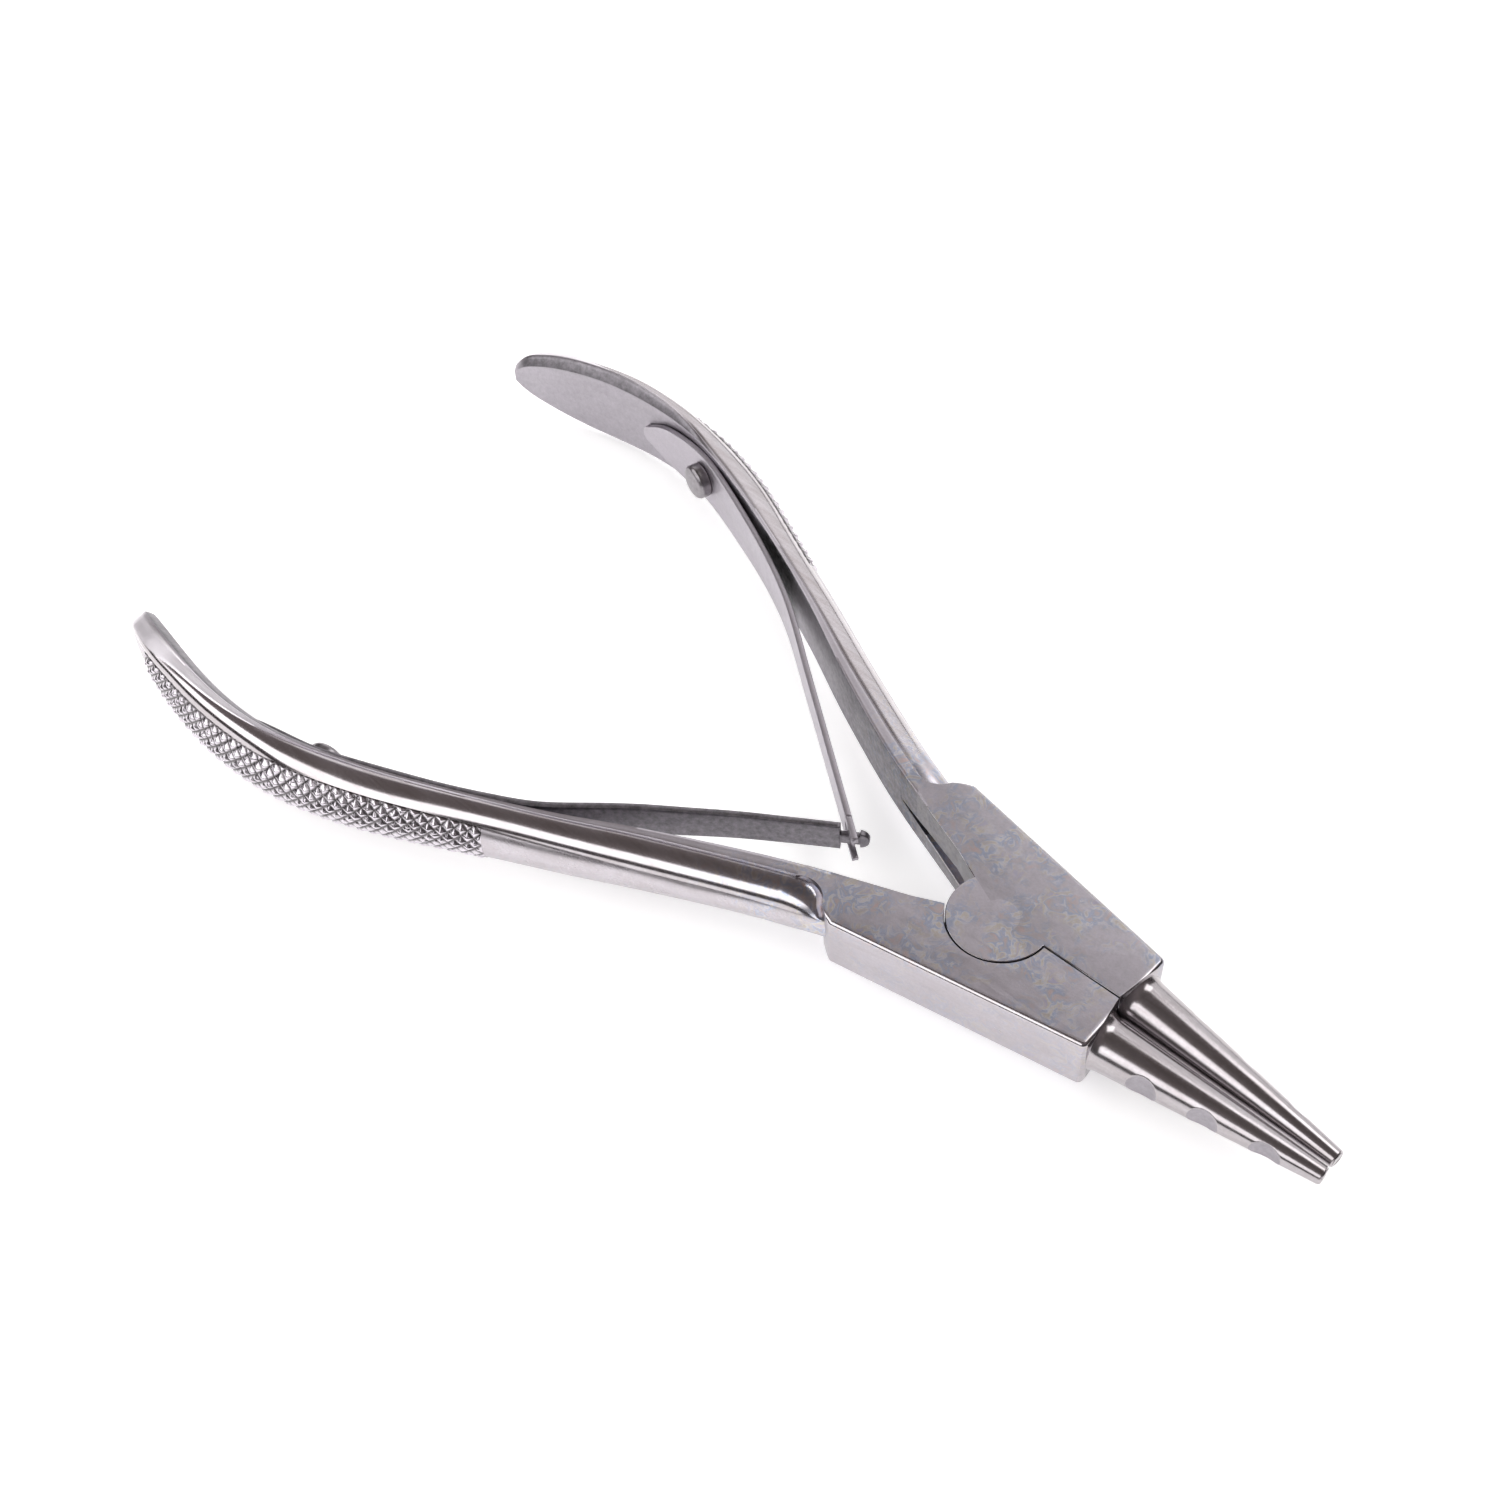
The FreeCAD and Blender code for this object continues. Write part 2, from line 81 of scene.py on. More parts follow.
# x, face half width, rim depth and half width, crease, edge line, depth at the middle
STATIONS = (
    (-8.0, 3.50, 1.40, 3.50, 1.50, 3.20, 4.40, 1.35, 4.75),
    (-16.0, 3.50, 1.40, 3.50, 1.50, 3.20, 4.40, 1.35, 4.75),
    (-22.0, 3.44, 1.30, 3.44, 1.40, 3.16, 4.28, 1.42, 4.70),
    (-28.0, 3.50, 1.15, 3.50, 1.25, 3.25, 4.10, 1.50, 4.60),
    (-35.0, 3.66, 0.85, 3.66, 0.95, 3.44, 3.75, 1.75, 4.30),
    (-41.0, 3.78, 0.60, 3.78, 0.70, 3.60, 3.25, 2.10, 4.00),
    (-47.5, 3.85, 0.40, 3.85, 0.50, 3.70, 2.95, 2.40, 3.85),
    (-54.0, 3.88, 0.30, 3.88, 0.40, 3.76, 2.95, 2.75, 3.95),
    (-60.0, 3.95, 0.30, 3.96, 0.40, 3.82, 3.10, 2.95, 4.30),
    (-66.0, 4.13, 0.33, 4.16, 0.42, 3.98, 3.08, 3.05, 4.45),
    (-70.0, 4.25, 0.42, 4.42, 0.52, 4.15, 3.02, 3.08, 4.40),
    (-73.5, 4.25, 0.60, 4.85, 0.85, 4.42, 2.95, 3.10, 4.25),
    (-77.0, 4.26, 0.80, 5.20, 1.20, 4.62, 2.92, 3.10, 4.15),
    (-81.0, 4.32, 0.95, 5.48, 1.56, 4.74, 2.95, 3.10, 4.05),
    (-85.6, 4.36, 1.02, 5.64, 1.92, 4.66, 3.05, 3.10, 3.95),
    (-89.0, 4.24, 1.04, 5.52, 2.30, 4.36, 3.14, 2.94, 3.92),
    (-92.5, 3.90, 1.04, 5.18, 2.92, 3.90, 3.28, 2.72, 3.80),
    (-95.5, 3.36, 1.02, 4.58, 3.10, 3.42, 3.26, 2.40, 3.62),
    (-98.2, 2.58, 0.95, 3.72, 2.86, 2.80, 3.02, 1.96, 3.30),
    (-100.2, 1.60, 0.82, 2.60, 2.36, 1.94, 2.52, 1.38, 2.72),
    (-101.2, 0.80, 0.64, 1.46, 1.70, 1.10, 1.84, 0.84, 2.00),
)
GRIP_X = (-48.4, -94.4)
LEAF_ROOT_FACE = (
    (-80.6, 31.28), (-77.0, 31.22), (-73.0, 30.74), (-69.0, 29.98), (-64.3, 28.32), (-58.9, 26.00),
    (-53.8, 23.65), (-49.2, 21.25), (-45.3, 18.90),
)
LEAF_FACE_A = LEAF_ROOT_FACE + (
    (-42.0, 16.60), (-37.5, 13.25), (-32.4, 9.50), (-28.8, 6.85), (-25.2, 4.20), (-21.5, 1.47),
    (-18.95, -0.42), (-17.0, -1.87),
)
LEAF_FACE_B = LEAF_ROOT_FACE + (
    (-42.0, 16.15), (-37.5, 12.35), (-33.0, 9.00), (-29.4, 6.38), (-25.6, 3.85), (-21.5, 1.20),
    (-18.95, -0.42), (-17.0, -1.67),
)
LEAF_T = 0.70
LEAF_WIDTH = (
    (-79.6, 1.20), (-77.5, 2.30), (-74.5, 3.05), (-71.0, 3.35), (-66.0, 3.35), (-60.0, 3.10),
    (-52.0, 2.68), (-46.0, 2.45), (-31.0, 1.95), (-16.5, 1.80),
)
LEAF_END_X = -80.4
CROSS_X, CROSS_ANGLE = -18.95, math.radians(35.3)
FORK_BACK, FORK_FRONT, FORK_Z = 1.5, 1.45, (-1.32, 1.02)
NECK_BACK, NECK_FRONT, NECK_Z = 1.4, 0.75, (-0.80, 0.50)
HEAD_R, HEAD_END = 1.12, 1.75
RIVET_X, RIVET_R, RIVET_HEAD, RIVET_DOME = -68.4, 2.15, 1.20, 0.60

# ---- sizes of the visual model alone ----
EDGE_ROUND = 0.6                 # on the joint's outer edges, where the CAD has a small chamfer
OUTER_REACH = 0.9                # how far in from the outer side an edge still gets that round
SOFT_ROUND = 0.09                # on the joint's other outward edges
SOFT_ANGLE = math.radians(28)    # edges flatter than this stay as they are
PIN_PLAY = 0.05                  # round the pin in the tongue arm
BODY_END = (-19.6, -15.4)        # x where the handle's round body closes into its nose
BULGE_RUN = ((-82.0, -70.0), (0.76, 0.70))    # places along x, roundness of the body there
PROUD_RUN = ((-30.0, -22.0, -17.0, -14.5), (0.0, 0.008, 0.008, -0.02))
FACE_POINTS, BODY_POINTS, BAND_POINTS = 27, 18, 27
SLOT_ROWS = (10, 17)             # the face points that go down into the slot
FACE_INSET = 0.12
HANDLE_SHARP = 60                # degrees from which the handle's edges are shaded sharp
ROUND_SIDES = 96
GRIP_RISE, GRIP_LAP, GRIP_HEIGHT, GRIP_FADE = 0.06, 0.04, 0.33, 0.07
GRIP_PITCH = (1.48, 1.34)        # of the knurl, along and across
GRIP_GRID = (620, 90)
GRIP_CELL, GRIP_WOBBLE = (8, 6), 0.02    # grid steps that share one random height
GRIP_ENDS = (0.35, 0.5)          # run over which the diamonds rise at the two ends
GRIP_SKIRT = 0.8                 # how far the band's ends go down into the handle
LEAF_EDGE_R = 0.09
JAW_FILLET, JAW_FILLET_H, JAW_TIP_ROUND = 0.62, 2.4, 0.15

# ---- polish, tint and painted shade (below 0, painted light). Each pair is places along x and the values there ----
# painted shade on the handles' inner faces between the arms, darkest in the gap beside the upper leaf
INNER_SHADE = {
    +1: ((-68.0, -56.0, -53.5, -47.5, -45.0, -30.0), (0.29, 0.38, 0.88, 0.88, 0.42, 0.62)),
    -1: ((-66.0, -44.0, -30.0), (0.20, 0.35, 0.62)),
}
# painted shade on the dark strip along the paddle's rim
RIM_SHADE = ((-101.0, -99.5, -72.0, -66.0), (0.0, 0.60, 0.60, 0.0))
# painted light: the shelf near the paddle's end is paled as if lit (a negative shade value)
SHELF_PAINTED_LIGHT = ((-80.0, -66.0), (0.75, 0.0))
WEB_POLISH = {+1: ((-24.0, -18.0), (1.0, 0.25)), -1: ((-24.0, -18.0), (1.0, 1.0))}
TINT_START, TINT_RUN = -34.0, 14.0
# painted shade on the leaves, much more on the lower leaf
LEAF_SHADE = {+1: 0.16, -1: 0.61}
# painted shade over the jaws, more on the notch faces
JAW_SHADE, NOTCH_SHADE = 0.16, 0.18
# the rivet head's shade value is painted shade
RIVET_LOOK = {"polish": 0.6, "tint": 0.0, "shade": 0.45}
SIDE_NZ, FLAT_NZ = 0.3, 0.95     # below the first a face is a side, above the second a flat


# ---- curves and points ----
class Cubic:
    """Smooth curve y(x) through points: a natural cubic spline."""

    def __init__(self, points):
        pts = np.array(sorted(points), float)
        self.x, self.y = pts[:, 0], pts[:, 1:]
        n = len(pts)
        h = np.diff(self.x)
        slope = np.diff(self.y, axis=0) / h[:, None]
        a = np.eye(n)
        b = np.zeros((n, self.y.shape[1]))
        for i in range(1, n - 1):
            a[i, i - 1:i + 2] = h[i - 1], 2 * (h[i - 1] + h[i]), h[i]
            b[i] = 6 * (slope[i] - slope[i - 1])
        self.m = np.linalg.solve(a, b)

    def __call__(self, x):
        x = np.atleast_1d(np.asarray(x, float))
        i = np.clip(np.searchsorted(self.x, x) - 1, 0, len(self.x) - 2)
        h = self.x[i + 1] - self.x[i]
        a = ((self.x[i + 1] - x) / h)[:, None]
        b = ((x - self.x[i]) / h)[:, None]
        bend = (a ** 3 - a) * self.m[i] + (b ** 3 - b) * self.m[i + 1]
        return a * self.y[i] + b * self.y[i + 1] + bend * (h ** 2)[:, None] / 6


INNER = Cubic(INNER_LINE)
SECTION = Cubic(STATIONS)


def plan_frame(curve, x):
    """Points on a plan curve at x and the outward (away from the other arm) normals there."""
    x = np.atleast_1d(np.asarray(x, float))
    y = curve(x)[:, 0]
    slope = (curve(x + 0.01)[:, 0] - curve(x - 0.01)[:, 0]) / 0.02
    length = np.sqrt(1 + slope ** 2)
    normal = np.stack([-slope / length, 1 / length], 1)
    return np.stack([x, y], 1), normal


def put(points, side):
    """Millimetres about the pivot, for the side (+1 slotted, -1 tongue), in the frame's metres."""
    out = np.array(points, float).reshape(-1, 3).copy()
    out[:, 1] *= side
    return out * MM + np.array(PIVOT)


def make(name, points, faces, side, material, body, attributes, sharp=0):
    """A piece from points and faces. It rides on the body, if one is given."""
    if side < 0:
        faces = [f[::-1] for f in faces]
    mesh = bpy.data.meshes.new(name)
    mesh.from_pydata(put(points, side).tolist(), [], [list(map(int, f)) for f in faces])
    mesh.validate()
    mesh.update()
    for key, values in attributes.items():
        layer = mesh.attributes.new(key, "FLOAT", "POINT")
        layer.data.foreach_set("value", np.asarray(values, np.float32))
    mesh.shade_smooth()
    if sharp:
        mesh.set_sharp_from_angle(angle=math.radians(sharp))
    mesh.materials.append(material)
    obj = bpy.data.objects.new(name, mesh)
    bpy.context.scene.collection.objects.link(obj)
    if body:
        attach(obj, body)
    return obj


def grid_faces(rows, columns, closed):
    """Quads of a grid of points; closed joins the last column to the first."""
    faces = []
    last = columns if closed else columns - 1
    for i in range(rows - 1):
        for j in range(last):
            k = (j + 1) % columns
            here, there = i * columns, (i + 1) * columns
            faces.append((here + j, here + k, there + k, there + j))
    return faces


# ---- materials ----
def nodes_of(name):
    """A new material, its node tree and its shader."""
    mat = bpy.data.materials.new(name)
    mat.use_nodes = True
    tree = mat.node_tree
    shader = tree.nodes["Principled BSDF"]
    return mat, tree, shader


class Graph:
    """Short calls for building a node tree."""

    def __init__(self, tree):
        self.tree = tree

    def node(self, kind, **values):
        made = self.tree.nodes.new(kind)
        for key, value in values.items():
            setattr(made, key, value)
        return made

    def link(self, a, b):
        self.tree.links.new(a, b)

    def coords(self, scale=(1, 1, 1), turn=0.0):
        """Object coordinates in metres, scaled to the given size."""
        coord = self.node("ShaderNodeTexCoord")
        mapping = self.node("ShaderNodeMapping")
        mapping.inputs["Scale"].default_value = scale
        mapping.inputs["Rotation"].default_value = (0, 0, turn)
        self.link(coord.outputs["Object"], mapping.inputs["Vector"])
        return mapping.outputs["Vector"]

    def noise(self, vector, scale, detail=3.0, rough=0.5, distortion=0.0):
        made = self.node("ShaderNodeTexNoise")
        made.inputs["Scale"].default_value = scale
        made.inputs["Detail"].default_value = detail
        made.inputs["Roughness"].default_value = rough
        made.inputs["Distortion"].default_value = distortion
        self.link(vector, made.inputs["Vector"])
        return made.outputs["Fac"]

    def ramp(self, value, stops):
        made = self.node("ShaderNodeValToRGB")
        elements = made.color_ramp.elements
        while len(elements) < len(stops):
            elements.new(0.5)
        for element, (place, colour) in zip(elements, stops):
            element.position = place
            element.color = (*colour, 1)
        self.link(value, made.inputs["Fac"])
        return made.outputs["Color"]

    def span(self, value, a, b, c, d):
        made = self.node("ShaderNodeMapRange")
        for socket, number in zip(("From Min", "From Max", "To Min", "To Max"), (a, b, c, d)):
            made.inputs[socket].default_value = number
        self.link(value, made.inputs["Value"])
        return made.outputs["Result"]

    def math(self, kind, a, b=None):
        made = self.node("ShaderNodeMath", operation=kind)
        for socket, value in zip(made.inputs, (a, b)):
            if value is None:
                continue
            if isinstance(value, (int, float)):
                socket.default_value = value
            else:
                self.link(value, socket)
        return made.outputs[0]

    def mix(self, factor, a, b):
        made = self.node("ShaderNodeMix", data_type="RGBA")
        for socket, value in ((0, factor), (6, a), (7, b)):
            if isinstance(value, (int, float)):
                made.inputs[socket].default_value = value
            elif isinstance(value, tuple):
                made.inputs[socket].default_value = (*value, 1)
            else:
                self.link(value, made.inputs[socket])
        return made.outputs[2]

    def attribute(self, name):
        return self.node("ShaderNodeAttribute", attribute_name=name).outputs["Fac"]

    def bump(self, height, strength, distance):
        made = self.node("ShaderNodeBump")
        made.inputs["Strength"].default_value = strength
        made.inputs["Distance"].default_value = distance
        self.link(height, made.inputs["Height"])
        return made.outputs["Normal"]


STEEL = (0.62, 0.585, 0.61)
SATIN_STEEL = (0.63, 0.592, 0.648)
GRIT, SMEAR = (0.36, 0.34, 0.355), (0.42, 0.40, 0.41)
STREAK, GRIME = (0.36, 0.31, 0.30), (0.30, 0.29, 0.30)
# heat tint: place on the ramp, colour
FILM = (
    (0.32, (0.62, 0.48, 0.46)), (0.40, (0.54, 0.51, 0.53)), (0.47, (0.38, 0.45, 0.62)),
    (0.54, (0.70, 0.69, 0.72)), (0.60, (0.64, 0.58, 0.47)), (0.68, (0.48, 0.46, 0.62)),
)
KNURL_STEEL, KNURL_WORN, KNURL_VALLEY_DARK = (0.75, 0.705, 0.76), (0.56, 0.53, 0.56), (0.13, 0.12, 0.125)
BUMP_DEPTH = 0.00003
# satin roughness, polished roughness, heat tint, strength of the grain
GRIP_FINISH = (0.44, 0.16, 0.78, 1.2)
JAW_FINISH = (0.42, 0.20, 0.0, 0.5)
LEAF_FINISH = (0.40, 0.2, 0.0, 0.7)
RIVET_FINISH = (0.34, 0.30, 0.0, 0.6)


def steel_material(name, turn, finish):
    """Steel that goes from satin to polished by the mesh's polish value.

    Its tint value brings the heat tint, and its shade value is painted shade that darkens it (below 0,
    painted light that pales it)."""
    satin, polished, tinted, grain = finish
    mat, tree, shader = nodes_of(name)
    g = Graph(tree)
    shader.inputs["Metallic"].default_value = 1.0
    polish = g.attribute("polish")
    tint = g.attribute("tint")
    along = g.coords((60, 1400, 1400), turn)
    even = g.coords()
    stroke = g.noise(along, 1.0, 4.0, 0.6)
    speck = g.noise(even, 3800, 2.0, 0.6)
    cloud = g.noise(even, 260, 4.0, 0.55, 0.6)
    smear = g.noise(g.coords((120, 330, 330), turn), 1.0, 4.0, 0.6, 0.8)
    # colour
    base = g.mix(polish, SATIN_STEEL, STEEL)
    base = g.mix(g.span(speck, 0.3, 0.7, 0.0, 0.22), base, GRIT)
    base = g.mix(g.span(smear, 0.35, 0.7, 0.0, 0.20), base, SMEAR)
    drawn = g.noise(g.coords((45, 900, 900), turn), 1.0, 5.0, 0.65, 0.6)
    streak = g.span(drawn, 0.38, 0.66, 0.0, 0.42)
    base = g.mix(g.math("MULTIPLY", streak, polish), base, STREAK)
    film = g.ramp(g.noise(g.coords((1, 1, 1)), 650, 3.0, 0.55, 1.2), FILM)
    patch = g.span(g.noise(g.coords((1, 1, 1), 0.5), 230, 5.0, 0.62, 0.9), 0.43, 0.58, 0.0, tinted)
    base = g.mix(g.math("MULTIPLY", patch, tint), base, film)
    grime = g.span(g.noise(even, 900, 5.0, 0.7), 0.45, 0.72, 0.0, 0.25)
    base = g.mix(g.math("MULTIPLY", grime, tint), base, GRIME)
    shade = g.attribute("shade")
    uneven = g.span(g.noise(even, 1500, 4.0, 0.7), 0.3, 0.7, 0.8, 1.2)
    # painted shade: the shade value darkens the colour towards black
    base = g.mix(g.math("MULTIPLY", shade, uneven), base, (0.0, 0.0, 0.0))
    # painted light: a shade value below 0 pales the colour
    base = g.mix(g.span(shade, -1.0, 0.0, 1.0, 0.0), base, (1.0, 0.96, 1.0))
    g.link(base, shader.inputs["Base Color"])
    # roughness
    rough = g.math("ADD", satin, g.math("MULTIPLY", g.span(stroke, 0.3, 0.7, -1, 1), 0.05))
    rough = g.math("ADD", rough, g.math("MULTIPLY", g.span(cloud, 0.3, 0.7, -1, 1), 0.04))
    shiny = g.math("ADD", polished, g.math("MULTIPLY", g.span(cloud, 0.3, 0.7, -1, 1), 0.02))
    blend = g.node("ShaderNodeMix", data_type="FLOAT")
    g.link(polish, blend.inputs[0])
    g.link(rough, blend.inputs[2])
    g.link(shiny, blend.inputs[3])
    g.link(blend.outputs[0], shader.inputs["Roughness"])
    # fine brushing and grit
    dull = g.math("SUBTRACT", 1.0, g.math("MULTIPLY", polish, 0.97))
    dull = g.math("MULTIPLY", dull, g.span(tint, 0.0, 1.0, 0.35, 1.0))
    height = g.math("ADD", g.math("MULTIPLY", stroke, 0.6), g.math("MULTIPLY", speck, 0.5))
    height = g.math("MULTIPLY", height, dull)
    g.link(g.bump(height, 0.35 * grain, BUMP_DEPTH), shader.inputs["Normal"])
    return mat


def knurl_material(name):
    """Bright worn diamonds, darker in the valleys."""
    mat, tree, shader = nodes_of(name)
    g = Graph(tree)
    shader.inputs["Metallic"].default_value = 1.0
    valley_dark = g.span(g.attribute("valley"), 0.5, 0.92, 0.0, 1.0)
    worn = g.span(g.noise(g.coords(), 1500, 3.0), 0.3, 0.7, 0.0, 0.4)
    g.link(g.mix(valley_dark, g.mix(worn, KNURL_STEEL, KNURL_WORN), KNURL_VALLEY_DARK), shader.inputs["Base Color"])
    g.link(g.span(g.noise(g.coords(), 2200, 3.0), 0.3, 0.7, 0.16, 0.28), shader.inputs["Roughness"])
    g.link(g.bump(g.noise(g.coords(), 5200, 2.0), 0.3, BUMP_DEPTH), shader.inputs["Normal"])
    return mat


# ---- shapes ----
def arc(a, m, b, count):
    """Points on the circle from a through m to b."""
    a, m, b = (np.asarray(p, float) for p in (a, m, b))
    d = 2 * (a[0] * (m[1] - b[1]) + m[0] * (b[1] - a[1]) + b[0] * (a[1] - m[1]))
    if abs(d) < 1e-9:
        return [a + (b - a) * t for t in np.linspace(0, 1, count)]
    sa, sm, sb = a @ a, m @ m, b @ b
    c = np.array([
        (sa * (m[1] - b[1]) + sm * (b[1] - a[1]) + sb * (a[1] - m[1])) / d,
        (sa * (b[0] - m[0]) + sm * (a[0] - b[0]) + sb * (m[0] - a[0])) / d])
    r = np.linalg.norm(a - c)
    t0, tm, t1 = (math.atan2(*(p - c)[::-1]) for p in (a, m, b))
    turn = (t1 - t0) % (2 * math.pi)
    if (tm - t0) % (2 * math.pi) > turn:
        turn -= 2 * math.pi
    return [c + r * np.array([math.cos(t0 + turn * s), math.sin(t0 + turn * s)])
            for s in np.linspace(0, 1, count)]


def slit_section(x):
    """Low edge, high edge and depth of the tongue's slot in the handle's inner face at x."""
    share = (x - SLIT_TIP_X) / (SLIT_FULL_X - SLIT_TIP_X)
    if share < 0.06:
        return None
    low, high = SLOT_Z
    (x0, y0), (x1, y1) = SLIT_PLAN[2:4]
    cut = y0 + (y1 - y0) * (x - x0) / (x1 - x0) - float(INNER(x)[0, 0])
    return (SLIT_TIP_Z + (low - SLIT_TIP_Z) * share,
            SLIT_TIP_Z + (high - SLIT_TIP_Z) * share, max(cut, 0.02))


def handle_outline(values, slit, roundness):
    """Closed handle section (out, z) with each point's polish.

    It runs over the inner face, rim, shelf, round body and outer band, and back the same way."""
    half, rim, rim_half, crease, crease_half, edge, edge_half, depth = values
    bulge = (crease + (edge - crease) * roundness, edge_half + (crease_half - edge_half) * roundness)
    key = [(0, half), (rim, rim_half), (crease, crease_half), (edge, edge_half)]
    body = arc(key[2], bulge, key[3], BODY_POINTS)
    band = arc(key[3], (depth, 0), (edge, -edge_half), BAND_POINTS)
    pts, polish = [], []

    def add(points, value):
        pts.extend(np.asarray(p, float) for p in points)
        polish.extend([value] * len(points))

    start, end = -half + FACE_INSET, half - FACE_INSET
    face = np.linspace(start, end, FACE_POINTS)
    floor = np.zeros(FACE_POINTS)
    if slit:
        low, high, cut = slit
        first, last = SLOT_ROWS
        face = np.concatenate([np.linspace(start, low, first),
                               np.linspace(low + 0.01, high - 0.01, last - first),
                               np.linspace(high, end, FACE_POINTS - last)])
        floor[first:last] = cut
    add(list(zip(floor, face)), 0.0)
    add([(0.01, half - 0.05), (0.06, half + 0.02)], 0.1)
    steps = (0.3, 0.6, 0.9) if rim_half - half > 0.15 or rim > 0.5 else (0.35, 0.6, 0.85)
    add([(rim * s, half + (rim_half - half) * s) for s in steps], 0.15)
    shelf = [(rim + (crease - rim) * s, rim_half + (crease_half - rim_half) * s)
             for s in (0.08, 0.3, 0.55, 0.8, 0.97)]
    add(shelf, 0.1)
    add(body[1:-1], 1.0)
    add([body[-1]], 0.8)
    add(band[1:-1], 0.55)
    add([(edge, -edge_half)], 0.8)
    add([(p[0], -p[1]) for p in body[1:-1][::-1]], 1.0)
    add([(out, -z) for out, z in shelf[::-1]], 0.1)
    add([(rim * s, -half - (rim_half - half) * s) for s in (0.9, 0.6, 0.3)], 0.15)
    add([(0.06, -half - 0.02), (0.01, -half + 0.05)], 0.1)
    return np.array(pts), np.array(polish)


def handle(name, side, body, material):
    """The long curved grip, lofted through its sections."""
    xs = np.concatenate([[-13.96, -14.0, -14.04], np.linspace(-14.2, -95, 420),
                         np.linspace(-95.15, -101.2, 60)])
    origins, normals = plan_frame(INNER, xs)
    values = SECTION(xs)
    points, polish, tint, shade = [], [], [], []
    for origin, normal, value, x in zip(origins, normals, values, xs):
        value = value.copy()
        if x > BODY_END[0]:
            share = min(1.0, (x - BODY_END[0]) / (BODY_END[1] - BODY_END[0]))
            value[4] = value[6] + (value[4] - value[6]) * math.sqrt(max(1 - share ** 2, 0.0)) + 0.02
        outline, shine = handle_outline(value, slit_section(x) if side > 0 else None,
                                        np.interp(x, *BULGE_RUN))
        # sunk into the block where it starts, a hair proud where the block ends
        proud = np.interp(x, *PROUD_RUN)
        inside = (np.arange(len(outline)) <= FACE_POINTS).astype(float)
        outline[:, 1] += np.sign(outline[:, 1]) * proud * (np.abs(outline[:, 1]) > 3.0)
        outline[:, 0] -= proud * inside
        plan = origin + normal * outline[:, :1]
        points.append(np.column_stack([plan, outline[:, 1]]))
        out, z = outline[:, 0], np.abs(outline[:, 1])
        before_shelf = value[1] * 0.97
        rim = ((out > 0.02) & (out < before_shelf) & (z > value[0] - 0.01)).astype(float)
        shelf = (out >= before_shelf) & (out < value[3]) & (z > value[4] - 0.01)
        # painted shade on the inner face and the rim, painted light on the shelf
        shade.append(inside * np.interp(x, *INNER_SHADE[side]) - shelf * np.interp(x, *SHELF_PAINTED_LIGHT)
                     + rim * np.interp(x, *RIM_SHADE))
        near = np.clip((x - TINT_START) / TINT_RUN, 0, 1)
        polish.append(shine * np.interp(x, *WEB_POLISH[side]))
        tint.append(np.full(len(outline), near * near))
    columns = len(points[0])
    rows = len(points)
    flat = np.concatenate(points)
    faces = grid_faces(rows, columns, True)
    start, end = np.mean(points[0], 0), np.mean(points[-1], 0)
    flat = np.vstack([flat, start, end])
    for j in range(columns):
        k = (j + 1) % columns
        faces.append((rows * columns, k, j))
        faces.append((rows * columns + 1, (rows - 1) * columns + j, (rows - 1) * columns + k))
    extra = {"polish": np.append(np.concatenate(polish), (0, 0)),
             "tint": np.append(np.concatenate(tint), (1, 0)),
             "shade": np.append(np.concatenate(shade), (0, 0))}
    return make(name, flat, faces, side, material, body, extra, HANDLE_SHARP)


def triangle_wave(t):
    """1 at whole numbers, 0 halfway between them."""
    return np.abs((t % 1.0) - 0.5) * 2


def knurl(name, side, body, material):
    """Raised band of diamond pyramids on the outer side."""
    pitch_along, pitch_across = GRIP_PITCH
    along, across = GRIP_GRID
    xs = np.linspace(GRIP_X[0], GRIP_X[1], along)
    origins, normals = plan_frame(INNER, xs)
    values = SECTION(xs)
    steps = np.linalg.norm(np.diff(origins, axis=0), axis=1)
    run = np.concatenate([[0], np.cumsum(steps)])
    points, valley = [], []
    rng = np.random.default_rng(7)
    cell_along, cell_across = GRIP_CELL
    wobble = rng.normal(0, 1, (along // cell_along + 2, across // cell_across + 2))
    for i in range(along):
        edge, edge_half, depth = values[i][5:]
        half = edge_half + GRIP_LAP
        z = np.linspace(-half, half, across)
        surface = depth - (depth - edge) * (z / edge_half) ** 2
        u = run[i] / pitch_along
        v = z / pitch_across
        ridge = np.minimum(triangle_wave(u + v), triangle_wave(u - v))
        height = np.minimum(ridge * 1.12, 0.92)
        fade = np.clip(np.minimum((half - np.abs(z)) / GRIP_FADE, 1), 0, 1)
        ends = max(min(1.0, run[i] / GRIP_ENDS[0], (run[-1] - run[i]) / GRIP_ENDS[1]), 0)
        bump = GRIP_RISE + GRIP_HEIGHT * height * fade * ends
        rough_edge = GRIP_WOBBLE * wobble[i // cell_along, (np.arange(across) // cell_across)]
        out = surface + bump + rough_edge * fade * ends
        out = np.concatenate([[surface[0] - 0.5], out, [surface[-1] - 0.5]])
        zz = np.concatenate([[z[0] - 0.12], z, [z[-1] + 0.12]])
        plan = origins[i] + normals[i] * out[:, None]
        points.append(np.column_stack([plan, zz]))
        deep = 1 - np.clip(height * fade, 0, 1)
        valley.append(np.concatenate([[1], deep, [1]]))
    columns = across + 2
    first, last = points[0].copy(), points[-1].copy()
    first[:, :2] -= normals[0] * GRIP_SKIRT
    first[:, 0] += 0.15
    last[:, :2] -= normals[-1] * GRIP_SKIRT
    points = [first] + points + [last]
    valley = [np.ones(columns)] + valley + [np.ones(columns)]
    faces = [f[::-1] for f in grid_faces(len(points), columns, False)]
    return make(name, np.concatenate(points), faces, side, material, body,
                {"valley": np.concatenate(valley)})


def mesh_object(name, mesh):
    """Puts a mesh into the scene."""
    obj = bpy.data.objects.new(name, mesh)
    bpy.context.scene.collection.objects.link(obj)
    return obj


